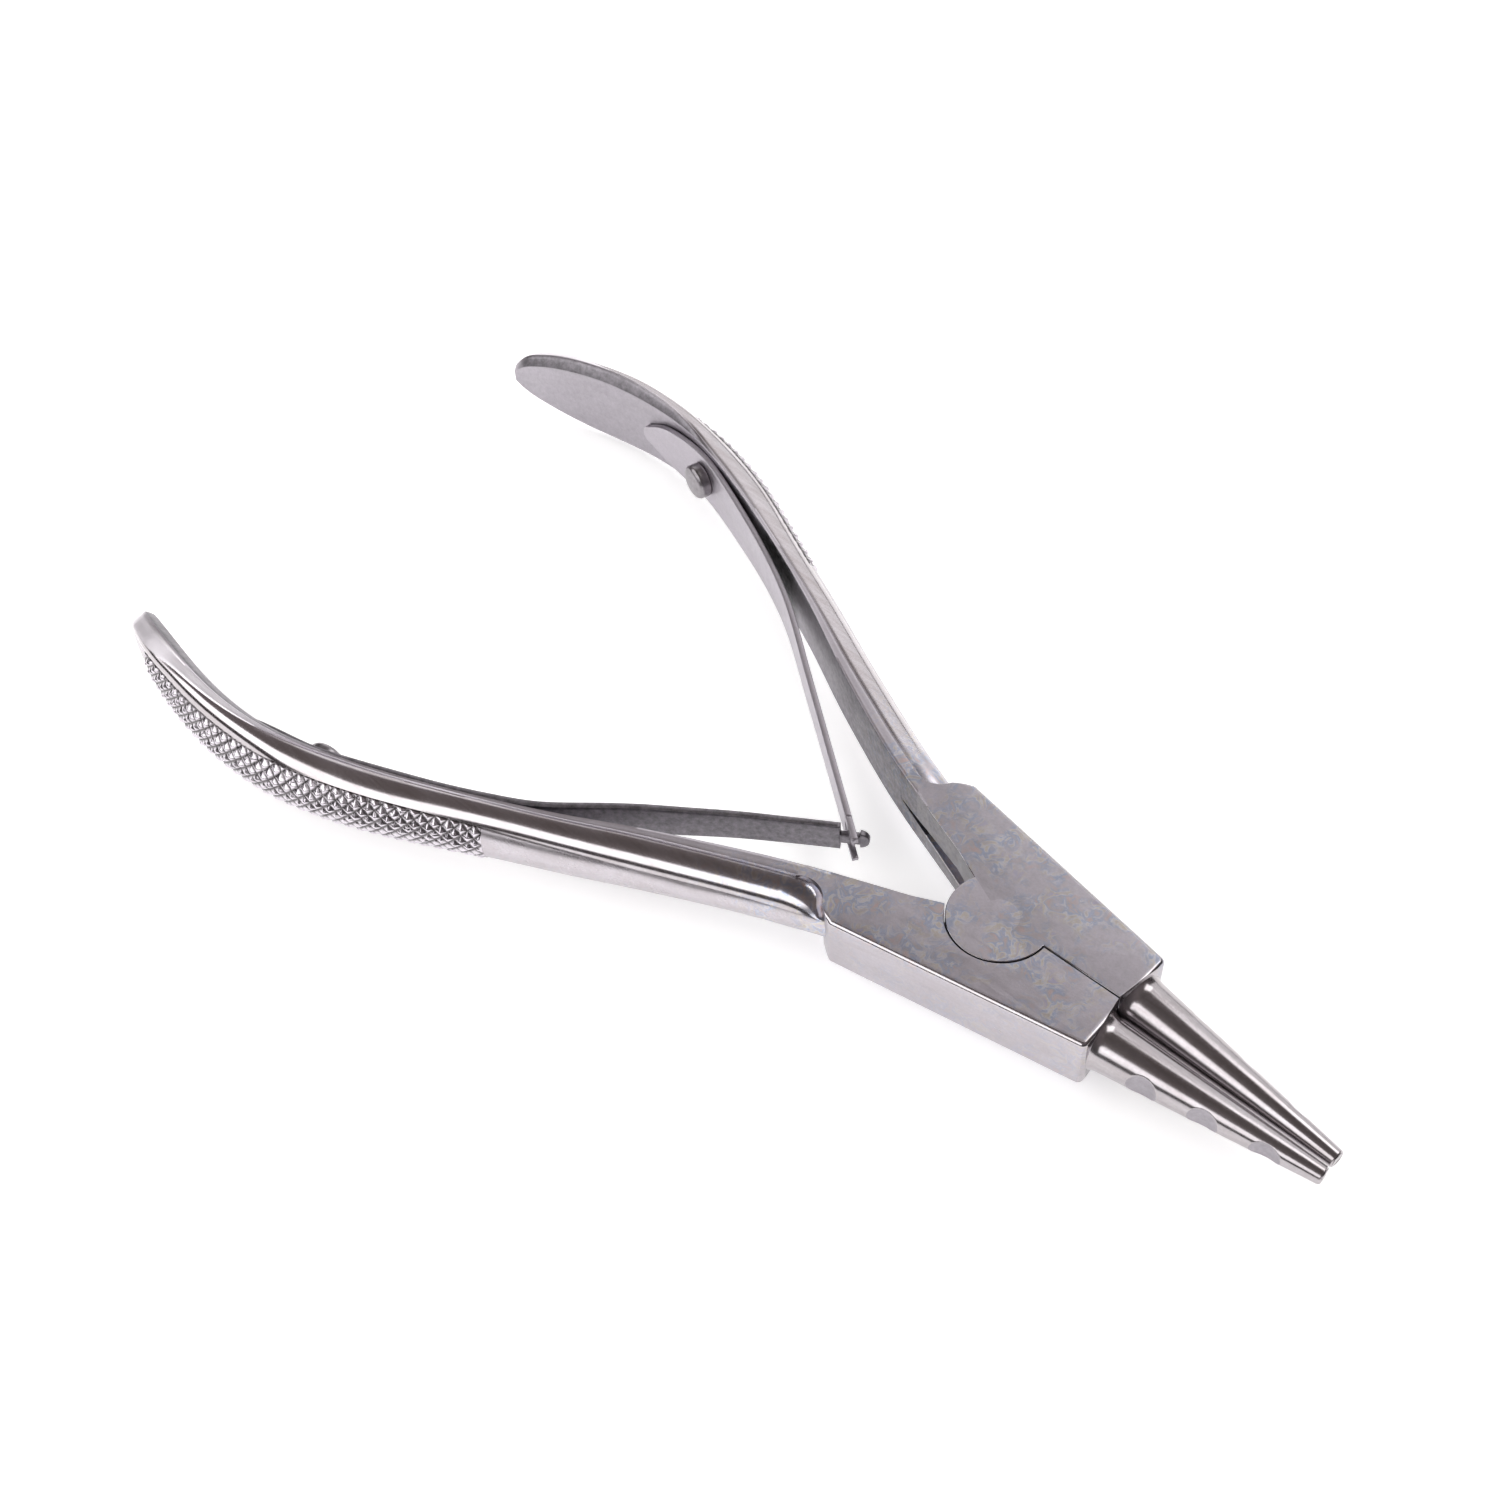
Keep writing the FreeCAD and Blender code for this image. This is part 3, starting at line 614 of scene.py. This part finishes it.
def prism(outline, low, high):
    """Closed upright prism through plan points, in millimetres."""
    bm = bmesh.new()
    bottom = [bm.verts.new((x, y, low)) for x, y in outline]
    face = bm.faces.new(bottom)
    made = bmesh.ops.extrude_face_region(bm, geom=[face])
    top = [v for v in made["geom"] if isinstance(v, bmesh.types.BMVert)]
    bmesh.ops.translate(bm, verts=top, vec=(0, 0, high - low))
    bmesh.ops.recalc_face_normals(bm, faces=bm.faces)
    mesh = bpy.data.meshes.new("tool")
    bm.to_mesh(mesh)
    bm.free()
    return mesh_object("tool", mesh)


def circle(radius, count=128):
    """Points of a circle round the origin."""
    turns = [2 * math.pi * i / count for i in range(count)]
    return [(radius * math.cos(t), radius * math.sin(t)) for t in turns]


def combine(obj, other, kind):
    """Boolean of two scratch objects; the second is removed."""
    modifier = obj.modifiers.new("b", "BOOLEAN")
    modifier.operation = kind
    modifier.object = other
    modifier.solver = "EXACT"
    settle(obj)
    bpy.data.objects.remove(other)


def settle(obj):
    """Applies an object's modifiers."""
    graph = bpy.context.evaluated_depsgraph_get()
    mesh = bpy.data.meshes.new_from_object(obj.evaluated_get(graph))
    obj.modifiers.clear()
    obj.data = mesh


def soften(obj):
    """Small rounds on the sharp outward edges, then smooth shading that keeps flats flat.

    The inward corners stay sharp: a round there would fill the slot's play."""
    bm = bmesh.new()
    bm.from_mesh(obj.data)
    bmesh.ops.remove_doubles(bm, verts=bm.verts, dist=0.002)
    bmesh.ops.dissolve_limit(bm, angle_limit=math.radians(0.5), verts=bm.verts, edges=bm.edges)
    bm.normal_update()
    weight = bm.edges.layers.float.new("bevel_weight_edge")
    for e in bm.edges:
        if e.is_manifold and e.is_convex and e.calc_face_angle(0.0) > SOFT_ANGLE:
            e[weight] = 1.0
    bm.to_mesh(obj.data)
    bm.free()
    bevel = obj.modifiers.new("bevel", "BEVEL")
    bevel.width = SOFT_ROUND
    bevel.segments = 2
    bevel.limit_method = "WEIGHT"
    bevel.use_clamp_overlap = True
    bevel.harden_normals = True
    obj.data.shade_smooth()
    settle(obj)


def corner_round(points, index, radius, samples=8):
    """Replaces one corner of a plan outline with an arc."""
    p = np.array(points[index], float)
    a = np.array(points[index - 1], float) - p
    b = np.array(points[(index + 1) % len(points)], float) - p
    a, b = a / np.linalg.norm(a), b / np.linalg.norm(b)
    half = math.acos(a @ b) / 2
    reach = radius / math.tan(half)
    middle = (a + b) / np.linalg.norm(a + b)
    top = p + middle * (radius / math.sin(half)) - middle * radius
    return [tuple(q) for q in arc(p + a * reach, top, p + b * reach, samples)]


def block_outline():
    """Plan of the joint half on the slotted side."""
    lift = PARTING_GAP / 2
    inner_a = (SHOULDER[0][0], float(INNER(SHOULDER[0][0])[0, 0]))
    inner_b = (-8.0, float(INNER(-8.0)[0, 0]))
    ring = [(-0.5, lift), (FRONT_INNER_X, lift), FRONT_CORNER, REAR_CORNER, SHOULDER[2]]
    front = corner_round(ring, 2, CORNER_R)
    rear = corner_round(ring, 3, CORNER_R)
    back = [tuple(p) for p in arc(SHOULDER[2], SHOULDER[1], SHOULDER[0], 14)]
    inner = [(x, float(INNER(x)[0, 0])) for x in np.linspace(inner_a[0], inner_b[0], 8)]
    return ring[:2] + front + rear + back + inner


def on_outer_edge(point):
    """True along the joint half's outer side and its two corner rounds."""
    slope = (FRONT_CORNER[1] - REAR_CORNER[1]) / (FRONT_CORNER[0] - REAR_CORNER[0])
    return point.y > REAR_CORNER[1] + slope * (point.x - REAR_CORNER[0]) - OUTER_REACH


def joint_block(slotted):
    """Joint half with its disc, recess, slot and small edge rounds, in millimetres."""
    body = prism(block_outline(), -HALF_T, HALF_T)
    bm = bmesh.new()
    bm.from_mesh(body.data)
    outer = [e for e in bm.edges if abs(e.verts[0].co.z - e.verts[1].co.z) < 1e-6
             and all(on_outer_edge(v.co) for v in e.verts)]
    bmesh.ops.bevel(bm, geom=outer, offset=EDGE_ROUND, segments=5, profile=0.5, affect="EDGES")
    bm.to_mesh(body.data)
    bm.free()
    if slotted:
        combine(body, prism(circle(DISC_R), -HALF_T, HALF_T), "UNION")
        combine(body, prism(circle(RECESS_R), *SLOT_Z), "DIFFERENCE")
        combine(body, slit_cutter(), "DIFFERENCE")
    else:
        mirror = Matrix.Scale(-1, 4, (0, 1, 0))
        body.data.transform(mirror)
        body.data.flip_normals()
        combine(body, prism(circle(RECESS_R), TONGUE_Z[1], HALF_T + 1), "DIFFERENCE")
        combine(body, prism(circle(RECESS_R), -HALF_T - 1, TONGUE_Z[0]), "DIFFERENCE")
        combine(body, prism(circle(TONGUE_R), *TONGUE_Z), "UNION")
        combine(body, prism(circle(PIN_R + PIN_PLAY, 72), -HALF_T - 1, HALF_T + 1), "DIFFERENCE")
    return body


def slit_cutter():
    """Wedge that opens the slot along the slotted arm's inner face."""
    low, high = SLOT_Z
    plan = prism(SLIT_PLAN, low, high)
    side = [(SLIT_TIP_X, SLIT_TIP_Z), (SLIT_FULL_X, high + 0.01), (0, high + 0.01),
            (0, low - 0.01), (SLIT_FULL_X, low - 0.01)]
    wedge = prism(side, -20, 5)
    wedge.data.transform(Matrix(((1, 0, 0, 0), (0, 0, -1, 0), (0, 1, 0, 0), (0, 0, 0, 1))))
    combine(plan, wedge, "INTERSECT")
    return plan


def place_scratch(obj, name, body, material, attributes):
    """Turns a scratch object in millimetres into a piece that rides on a body."""
    obj.data.transform(Matrix.Translation(PIVOT) @ Matrix.Scale(MM, 4))
    obj.name = name
    obj.data.name = name
    obj.data.materials.clear()
    obj.data.materials.append(material)
    for key, rule in attributes.items():
        layer = obj.data.attributes.new(key, "FLOAT", "CORNER")
        values = np.zeros(len(obj.data.loops), np.float32)
        for poly in obj.data.polygons:
            value = rule(poly)
            for loop in poly.loop_indices:
                values[loop] = value
        layer.data.foreach_set("value", values)
    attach(obj, body)
    return obj


def front_shine(poly):
    """Polish of a block face: front end and edge rounds shine, sides half, flats are satin."""
    steep = abs(poly.normal.z)
    if poly.normal.x > 0.6 or SIDE_NZ <= steep < FLAT_NZ:
        return 0.9
    return 0.45 if steep < SIDE_NZ else 0.0


def inner_shade(poly):
    """Painted shade between the handles; a little on the outer sides and the slotted half's top."""
    n, c = poly.normal, (poly.center - PIVOT) / MM
    if abs(n.z) < SIDE_NZ:
        return 0.62 if c.x < -5 and n.y * c.y < 0 else 0.10
    return 0.14 if c.y > 0 else 0.0


def tint_share(poly):
    """Heat tint: full on the flats, fainter on the sides."""
    return 1.0 if abs(poly.normal.z) > 0.9 else 0.35


def jaw(name, side, body, material):
    """Round tapered jaw with ring notches on its outer side."""
    base, tip = np.array(JAW_BASE), np.array(JAW_TIP)
    axis = tip - base
    length = np.linalg.norm(axis)
    axis = axis / length
    across = np.cross([0, 0, 1], axis)
    across /= np.linalg.norm(across)
    up = np.cross(axis, across)
    hs = np.concatenate([np.linspace(0.9, 3.0, 30), np.linspace(3.05, length - 0.16, 420),
                         [length - 0.12, length - 0.06, length]])
    angles = np.linspace(0, 2 * math.pi, ROUND_SIDES + 1)[:-1]
    points, dull = [], []
    for h in hs:
        radius = JAW_BASE_R + (JAW_TIP_R - JAW_BASE_R) * h / length
        if h < JAW_FILLET_H:
            radius += JAW_FILLET * ((JAW_FILLET_H - h) / 1.5) ** 2.2
        if h > length - JAW_TIP_ROUND:
            radius -= (h - (length - JAW_TIP_ROUND)) * 0.9
        centre = base + axis * h
        ring = centre + radius * (np.cos(angles)[:, None] * across + np.sin(angles)[:, None] * up)
        matte = np.zeros(len(ring))
        for x in NOTCH_X:
            share = (x - base[0]) / (tip - base)[0]
            reach = base[1] + (tip - base)[1] * share + JAW_BASE_R + (JAW_TIP_R - JAW_BASE_R) * share
            away = np.abs(ring[:, 0] - x)
            inside = away < NOTCH_CUT_R
            cutter = np.sqrt(np.maximum(NOTCH_CUT_R ** 2 - away ** 2, 0))
            floor = reach - NOTCH_DEPTH + NOTCH_CUT_R - cutter
            cut = inside & (ring[:, 1] > floor)
            ring[cut, 1] = floor[cut]
            matte[cut] = 1
        ring[:, 1] = np.maximum(ring[:, 1], PARTING_GAP / 2)
        ring[:, 2] = np.clip(ring[:, 2], -HALF_T + 0.05, HALF_T - 0.05)
        points.append(ring)
        dull.append(matte)
    columns = len(angles)
    flat = np.vstack([np.concatenate(points), tip])
    faces = [f[::-1] for f in grid_faces(len(points), columns, True)]
    last = (len(points) - 1) * columns
    for j in range(columns):
        faces.append((last + j, last + (j + 1) % columns, len(flat) - 1))
    polish = 1 - np.append(np.concatenate(dull), 0)
    # painted shade over the jaw, more on the notch faces
    return make(name, flat, faces, side, material, body,
                {"polish": polish, "tint": np.zeros(len(flat)),
                 "shade": JAW_SHADE + (1 - polish) * NOTCH_SHADE})


def lathe(name, profile, origin, axis, side, body, material, look):
    """Turned piece: profile is (radius, distance along the axis)."""
    axis = np.array(axis, float) / np.linalg.norm(axis)
    a = np.cross(axis, [0, 0, 1.0])
    a /= np.linalg.norm(a)
    b = np.cross(axis, a)
    angles = np.linspace(0, 2 * math.pi, ROUND_SIDES + 1)[:-1]
    points = []
    for r, h in profile:
        ring = r * (np.cos(angles)[:, None] * a + np.sin(angles)[:, None] * b)
        points.append(np.array(origin) + axis * h + ring)
    faces = grid_faces(len(points), ROUND_SIDES, True)
    return make(name, np.concatenate(points), faces, side, material, body,
                {k: np.full(len(profile) * ROUND_SIDES, v) for k, v in look.items()})


def rivet(name, side, body, material):
    """Domed rivet head with a turned rim."""
    point, normal = plan_frame(INNER, [RIVET_X])
    seat = -(LEAF_T + 0.15)
    top = seat - RIVET_HEAD
    profile = [(0.9, seat + 0.6), (RIVET_R - 0.12, seat + 0.02),
               (RIVET_R - 0.02, seat - 0.06), (RIVET_R, seat - 0.16)]
    profile += [(RIVET_R, h) for h in np.linspace(seat - 0.25, top + 0.12, 5)]
    profile += [(RIVET_R - 0.02, top + 0.04), (RIVET_R - 0.09, top - 0.05)]
    for t in np.linspace(0.04, 1, 16):
        quarter = t * math.pi / 2
        profile.append(((RIVET_R - 0.12) * math.cos(quarter) + 1e-4,
                        top - 0.06 - (RIVET_DOME - 0.06) * math.sin(quarter)))
    origin = (point[0][0], point[0][1], 0)
    axis = (normal[0][0], normal[0][1], 0)
    return lathe(name, profile, origin, axis, side, body, material, RIVET_LOOK)


def leaf_half_width(x):
    """Half the leaf's width at x, with its round end."""
    top = Cubic(LEAF_WIDTH)
    x = np.atleast_1d(x)
    width = top(np.maximum(x, LEAF_WIDTH[0][0]))[:, 0]
    x0, w0 = LEAF_WIDTH[0]
    nose = w0 * np.sqrt(np.clip(1 - ((x0 - x) / (x0 - LEAF_END_X)) ** 2, 0, 1))
    return np.where(x < x0, nose, width)


def strip_mesh(curve, xs, low, high):
    """Thin bent strip: xs along, low and high edge heights. Edges are slightly rounded."""
    origins, normals = plan_frame(curve, xs)
    points = []
    r = LEAF_EDGE_R
    for origin, normal, a, b in zip(origins, normals, low, high):
        zs = np.linspace(a + r, b - r, 11)
        ring = [(0, z) for z in zs]
        ring += [(r * 0.3, b - r * 0.3), (r, b), (LEAF_T - r, b), (LEAF_T - r * 0.3, b - r * 0.3)]
        ring += [(LEAF_T, z) for z in zs[::-1]]
        ring += [(LEAF_T - r * 0.3, a + r * 0.3), (LEAF_T - r, a), (r, a), (r * 0.3, a + r * 0.3)]
        ring = np.array(ring)
        plan = origin + normal * ring[:, :1]
        points.append(np.column_stack([plan, ring[:, 1]]))
    columns = len(points[0])
    faces = grid_faces(len(points), columns, True)
    count = len(points) * columns
    flat = np.concatenate(points)
    faces.append(tuple(range(columns))[::-1])
    faces.append(tuple(range(count - columns, count)))
    return flat, faces


def merge(parts):
    """Joins (points, faces) lists into one."""
    points, faces, shift = [], [], 0
    for p, f in parts:
        points.append(p)
        faces += [tuple(i + shift for i in face) for face in f]
        shift += len(p)
    return np.vstack(points), faces


def leaf_run(start):
    """Stations from the leaf's round end to x = start."""
    nose = LEAF_END_X + 0.8 * np.linspace(0.02, 1, 14) ** 2
    return np.concatenate([nose, np.linspace(-79.4, start, 240)])


def leaf_a():
    """Upper leaf: its end is a fork that takes the other leaf's neck."""
    curve = Cubic(LEAF_FACE_A)
    c = math.cos(CROSS_ANGLE)
    start, end = CROSS_X - FORK_BACK * c, CROSS_X + FORK_FRONT * c
    xs = leaf_run(start)
    w = leaf_half_width(xs)
    tail = np.linspace(start - 0.02, end, 16)
    wt = leaf_half_width(tail)
    upper = strip_mesh(curve, tail, np.full(16, FORK_Z[1]), wt)
    lower = strip_mesh(curve, tail, -wt, np.full(16, FORK_Z[0]))
    return merge([strip_mesh(curve, xs, -w, w), upper, lower])


def leaf_b():
    """Lower leaf: its end is a neck with a round head."""
    curve = Cubic(LEAF_FACE_B)
    c = math.cos(CROSS_ANGLE)
    start, front = CROSS_X - NECK_BACK * c, CROSS_X + NECK_FRONT * c
    xs = leaf_run(start)
    w = leaf_half_width(xs)
    neck = np.linspace(start - 0.02, front + 0.02, 14)
    head = np.linspace(front, CROSS_X + HEAD_END * c, 22)
    middle = (NECK_Z[0] + NECK_Z[1]) / 2
    s = (head - CROSS_X) / c - (HEAD_END - HEAD_R)
    hw = np.sqrt(np.maximum(HEAD_R ** 2 - s ** 2, 0.035))
    return merge([
        strip_mesh(curve, xs, -w, w),
        strip_mesh(curve, neck, np.full(14, NECK_Z[0]), np.full(14, NECK_Z[1])),
        strip_mesh(curve, head, middle - hw, middle + hw)])


# ---- build ----
ARM = {+1: "slotted_lever", -1: "tongue_lever"}
CAD_ARM = {+1: "slotted_arm", -1: "tongue_arm"}
TAG = {+1: "a", -1: "b"}
BRUSH = {+1: -0.32, -1: 0.32}    # direction of the brushing, in radians
# places along x on each leaf; the points there are worked out below but not used
BLEND_FROM, BLEND_TO = -63.0, -30.0

for side in (1, -1):
    tag, body = TAG[side], ARM[side]
    grip_steel = steel_material("grip_steel_" + tag, BRUSH[side], GRIP_FINISH)
    jaw_steel = steel_material("jaw_steel_" + tag, 0.0, JAW_FINISH)
    knurl_steel = knurl_material("knurl_steel_" + tag)
    leaf_steel = steel_material("leaf_steel_" + tag, BRUSH[side] * 1.4, LEAF_FINISH)
    rivet_steel = steel_material("rivet_steel_" + tag, 0.0, RIVET_FINISH)

    grip = handle("grip_" + tag, side, body, grip_steel)
    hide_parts(CAD_ARM[side])
    block = joint_block(side > 0)
    soften(block)
    if side > 0:
        combine(block, prism(circle(PIN_R, ROUND_SIDES), -HALF_T - 1, HALF_T + 1), "DIFFERENCE")
    # the block's faces get painted shade from inner_shade
    place_scratch(block, "block_" + tag, body, grip_steel,
                  {"polish": front_shine, "tint": tint_share, "shade": inner_shade})
    jaw("jaw_" + tag, side, body, jaw_steel)
    knurl("knurl_" + tag, side, body, knurl_steel)
    head = rivet("rivet_" + tag, side, body, rivet_steel)
    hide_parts("spring_rivet_" + tag)
    points, faces = leaf_a() if side > 0 else leaf_b()
    blank = np.zeros(len(points))
    # painted shade on the leaf
    leaf = make("leaf_" + tag, points, faces, side, leaf_steel, None,
                {"polish": blank, "tint": blank, "shade": blank + LEAF_SHADE[side]})
    curve = Cubic(LEAF_FACE_A if side > 0 else LEAF_FACE_B)
    start, end = (put([(x, float(curve(x)[0, 0]), 0)], side)[0] for x in (BLEND_FROM, BLEND_TO))
    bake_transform(leaf)
    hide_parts("spring_root_" + tag, "spring_blade_" + tag)

pin_steel = steel_material("pin_steel", BRUSH[1], GRIP_FINISH)
pin = prism(circle(PIN_R, ROUND_SIDES), -HALF_T, HALF_T)
place_scratch(pin, "pin", "slotted_lever", pin_steel, {"polish": lambda poly: 0.0, "tint": tint_share})
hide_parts("pivot_pin")

# ---- stage ----
PAPER_GLOW, WALL_GLOW = 0.38, 0.72
CAMERA_AZ, CAMERA_EL, CAMERA_ROLL = math.radians(46.34), math.radians(49.75), math.radians(-4.51)
CAMERA_TARGET, CAMERA_DISTANCE, CAMERA_LENS = (-34.82, 1.78, 0.0), 203.25, 45.6

back = Vector((math.sin(CAMERA_AZ) * math.cos(CAMERA_EL), -math.cos(CAMERA_AZ) * math.cos(CAMERA_EL),
               math.sin(CAMERA_EL)))
right = (-back).cross(Vector((0, 0, 1))).normalized()
up = right.cross(-back)
level_x = right * math.cos(CAMERA_ROLL) + up * math.sin(CAMERA_ROLL)
level_y = -right * math.sin(CAMERA_ROLL) + up * math.cos(CAMERA_ROLL)
eye = PIVOT + (Vector(CAMERA_TARGET) + back * CAMERA_DISTANCE) * MM
camera = bpy.data.objects.new("camera", bpy.data.cameras.new("camera"))
camera.data.lens = CAMERA_LENS
camera.data.sensor_width = 36
camera.data.clip_start = 0.01
camera.matrix_world = Matrix((
    (level_x.x, level_y.x, back.x, eye.x), (level_x.y, level_y.y, back.y, eye.y),
    (level_x.z, level_y.z, back.z, eye.z), (0, 0, 0, 1)))
bpy.context.scene.collection.objects.link(camera)
bpy.context.scene.camera = camera

floor_mesh = bpy.data.meshes.new("floor")
floor_mesh.from_pydata([(-3, -3, 0), (3, -3, 0), (3, 3, 0), (-3, 3, 0)], [], [(0, 1, 2, 3)])
floor = mesh_object("floor", floor_mesh)
paper, tree, shader = nodes_of("paper")
shader.inputs["Base Color"].default_value = (0.93, 0.93, 0.93, 1)
shader.inputs["Roughness"].default_value = 0.9
shader.inputs["Emission Color"].default_value = (1, 1, 1, 1)
shader.inputs["Emission Strength"].default_value = PAPER_GLOW
floor_mesh.materials.append(paper)

# pale wall round the floor, seen by the camera and left out of the steel's reflections
WALL_RADIUS, WALL_SIDES, WALL_Z = 2.9, 96, (-0.01, 6.0)
wall_mesh = bpy.data.meshes.new("wall")
wall_mesh.from_pydata([(x, y, z) for z in WALL_Z for x, y in circle(WALL_RADIUS, WALL_SIDES)], [],
                      grid_faces(2, WALL_SIDES, True))
wall = mesh_object("wall", wall_mesh)
chalk, tree, shader = nodes_of("chalk")
shader.inputs["Base Color"].default_value = (0, 0, 0, 1)
shader.inputs["Emission Color"].default_value = (1, 1, 1, 1)
shader.inputs["Emission Strength"].default_value = WALL_GLOW
wall_mesh.materials.append(chalk)
wall.visible_glossy = wall.visible_diffuse = wall.visible_shadow = False


def lamp(name, place, size, power):
    """Soft rectangular lamp that looks at the origin."""
    light = bpy.data.lights.new(name, "AREA")
    light.shape = "RECTANGLE"
    light.size, light.size_y = size
    light.energy = power
    obj = bpy.data.objects.new(name, light)
    obj.location = place
    obj.rotation_euler = (-Vector(place)).to_track_quat("-Z", "Y").to_euler()
    bpy.context.scene.collection.objects.link(obj)
    return obj


lamp("key", (0.25, 0.55, 0.75), (0.5, 0.4), 1.6)
lamp("front_box", (-0.31, -0.62, 0.545), (1.45, 0.50), 4.7)
lamp("back_box", (-0.34, 0.77, 0.44), (1.4, 0.80), 3.4)
canopy = lamp("canopy", (0.05, 0.1, 1.2), (3.0, 3.0), 19.0)
canopy.visible_glossy = False

world = bpy.data.worlds.new("world")
bpy.context.scene.world = world
world.use_nodes = True
g = Graph(world.node_tree)
direction = g.node("ShaderNodeTexCoord").outputs["Generated"]
split = g.node("ShaderNodeSeparateXYZ")
g.link(direction, split.inputs[0])
sky = g.ramp(split.outputs["Z"], (
    (0.0, (0.05, 0.045, 0.048)), (0.30, (0.09, 0.08, 0.083)), (0.55, (0.14, 0.122, 0.125)),
    (0.72, (0.19, 0.165, 0.17)), (0.88, (0.18, 0.155, 0.152)), (1.0, (0.13, 0.112, 0.11))))
g.link(sky, world.node_tree.nodes["Background"].inputs["Color"])
bpy.context.scene.view_settings.view_transform = "Standard"
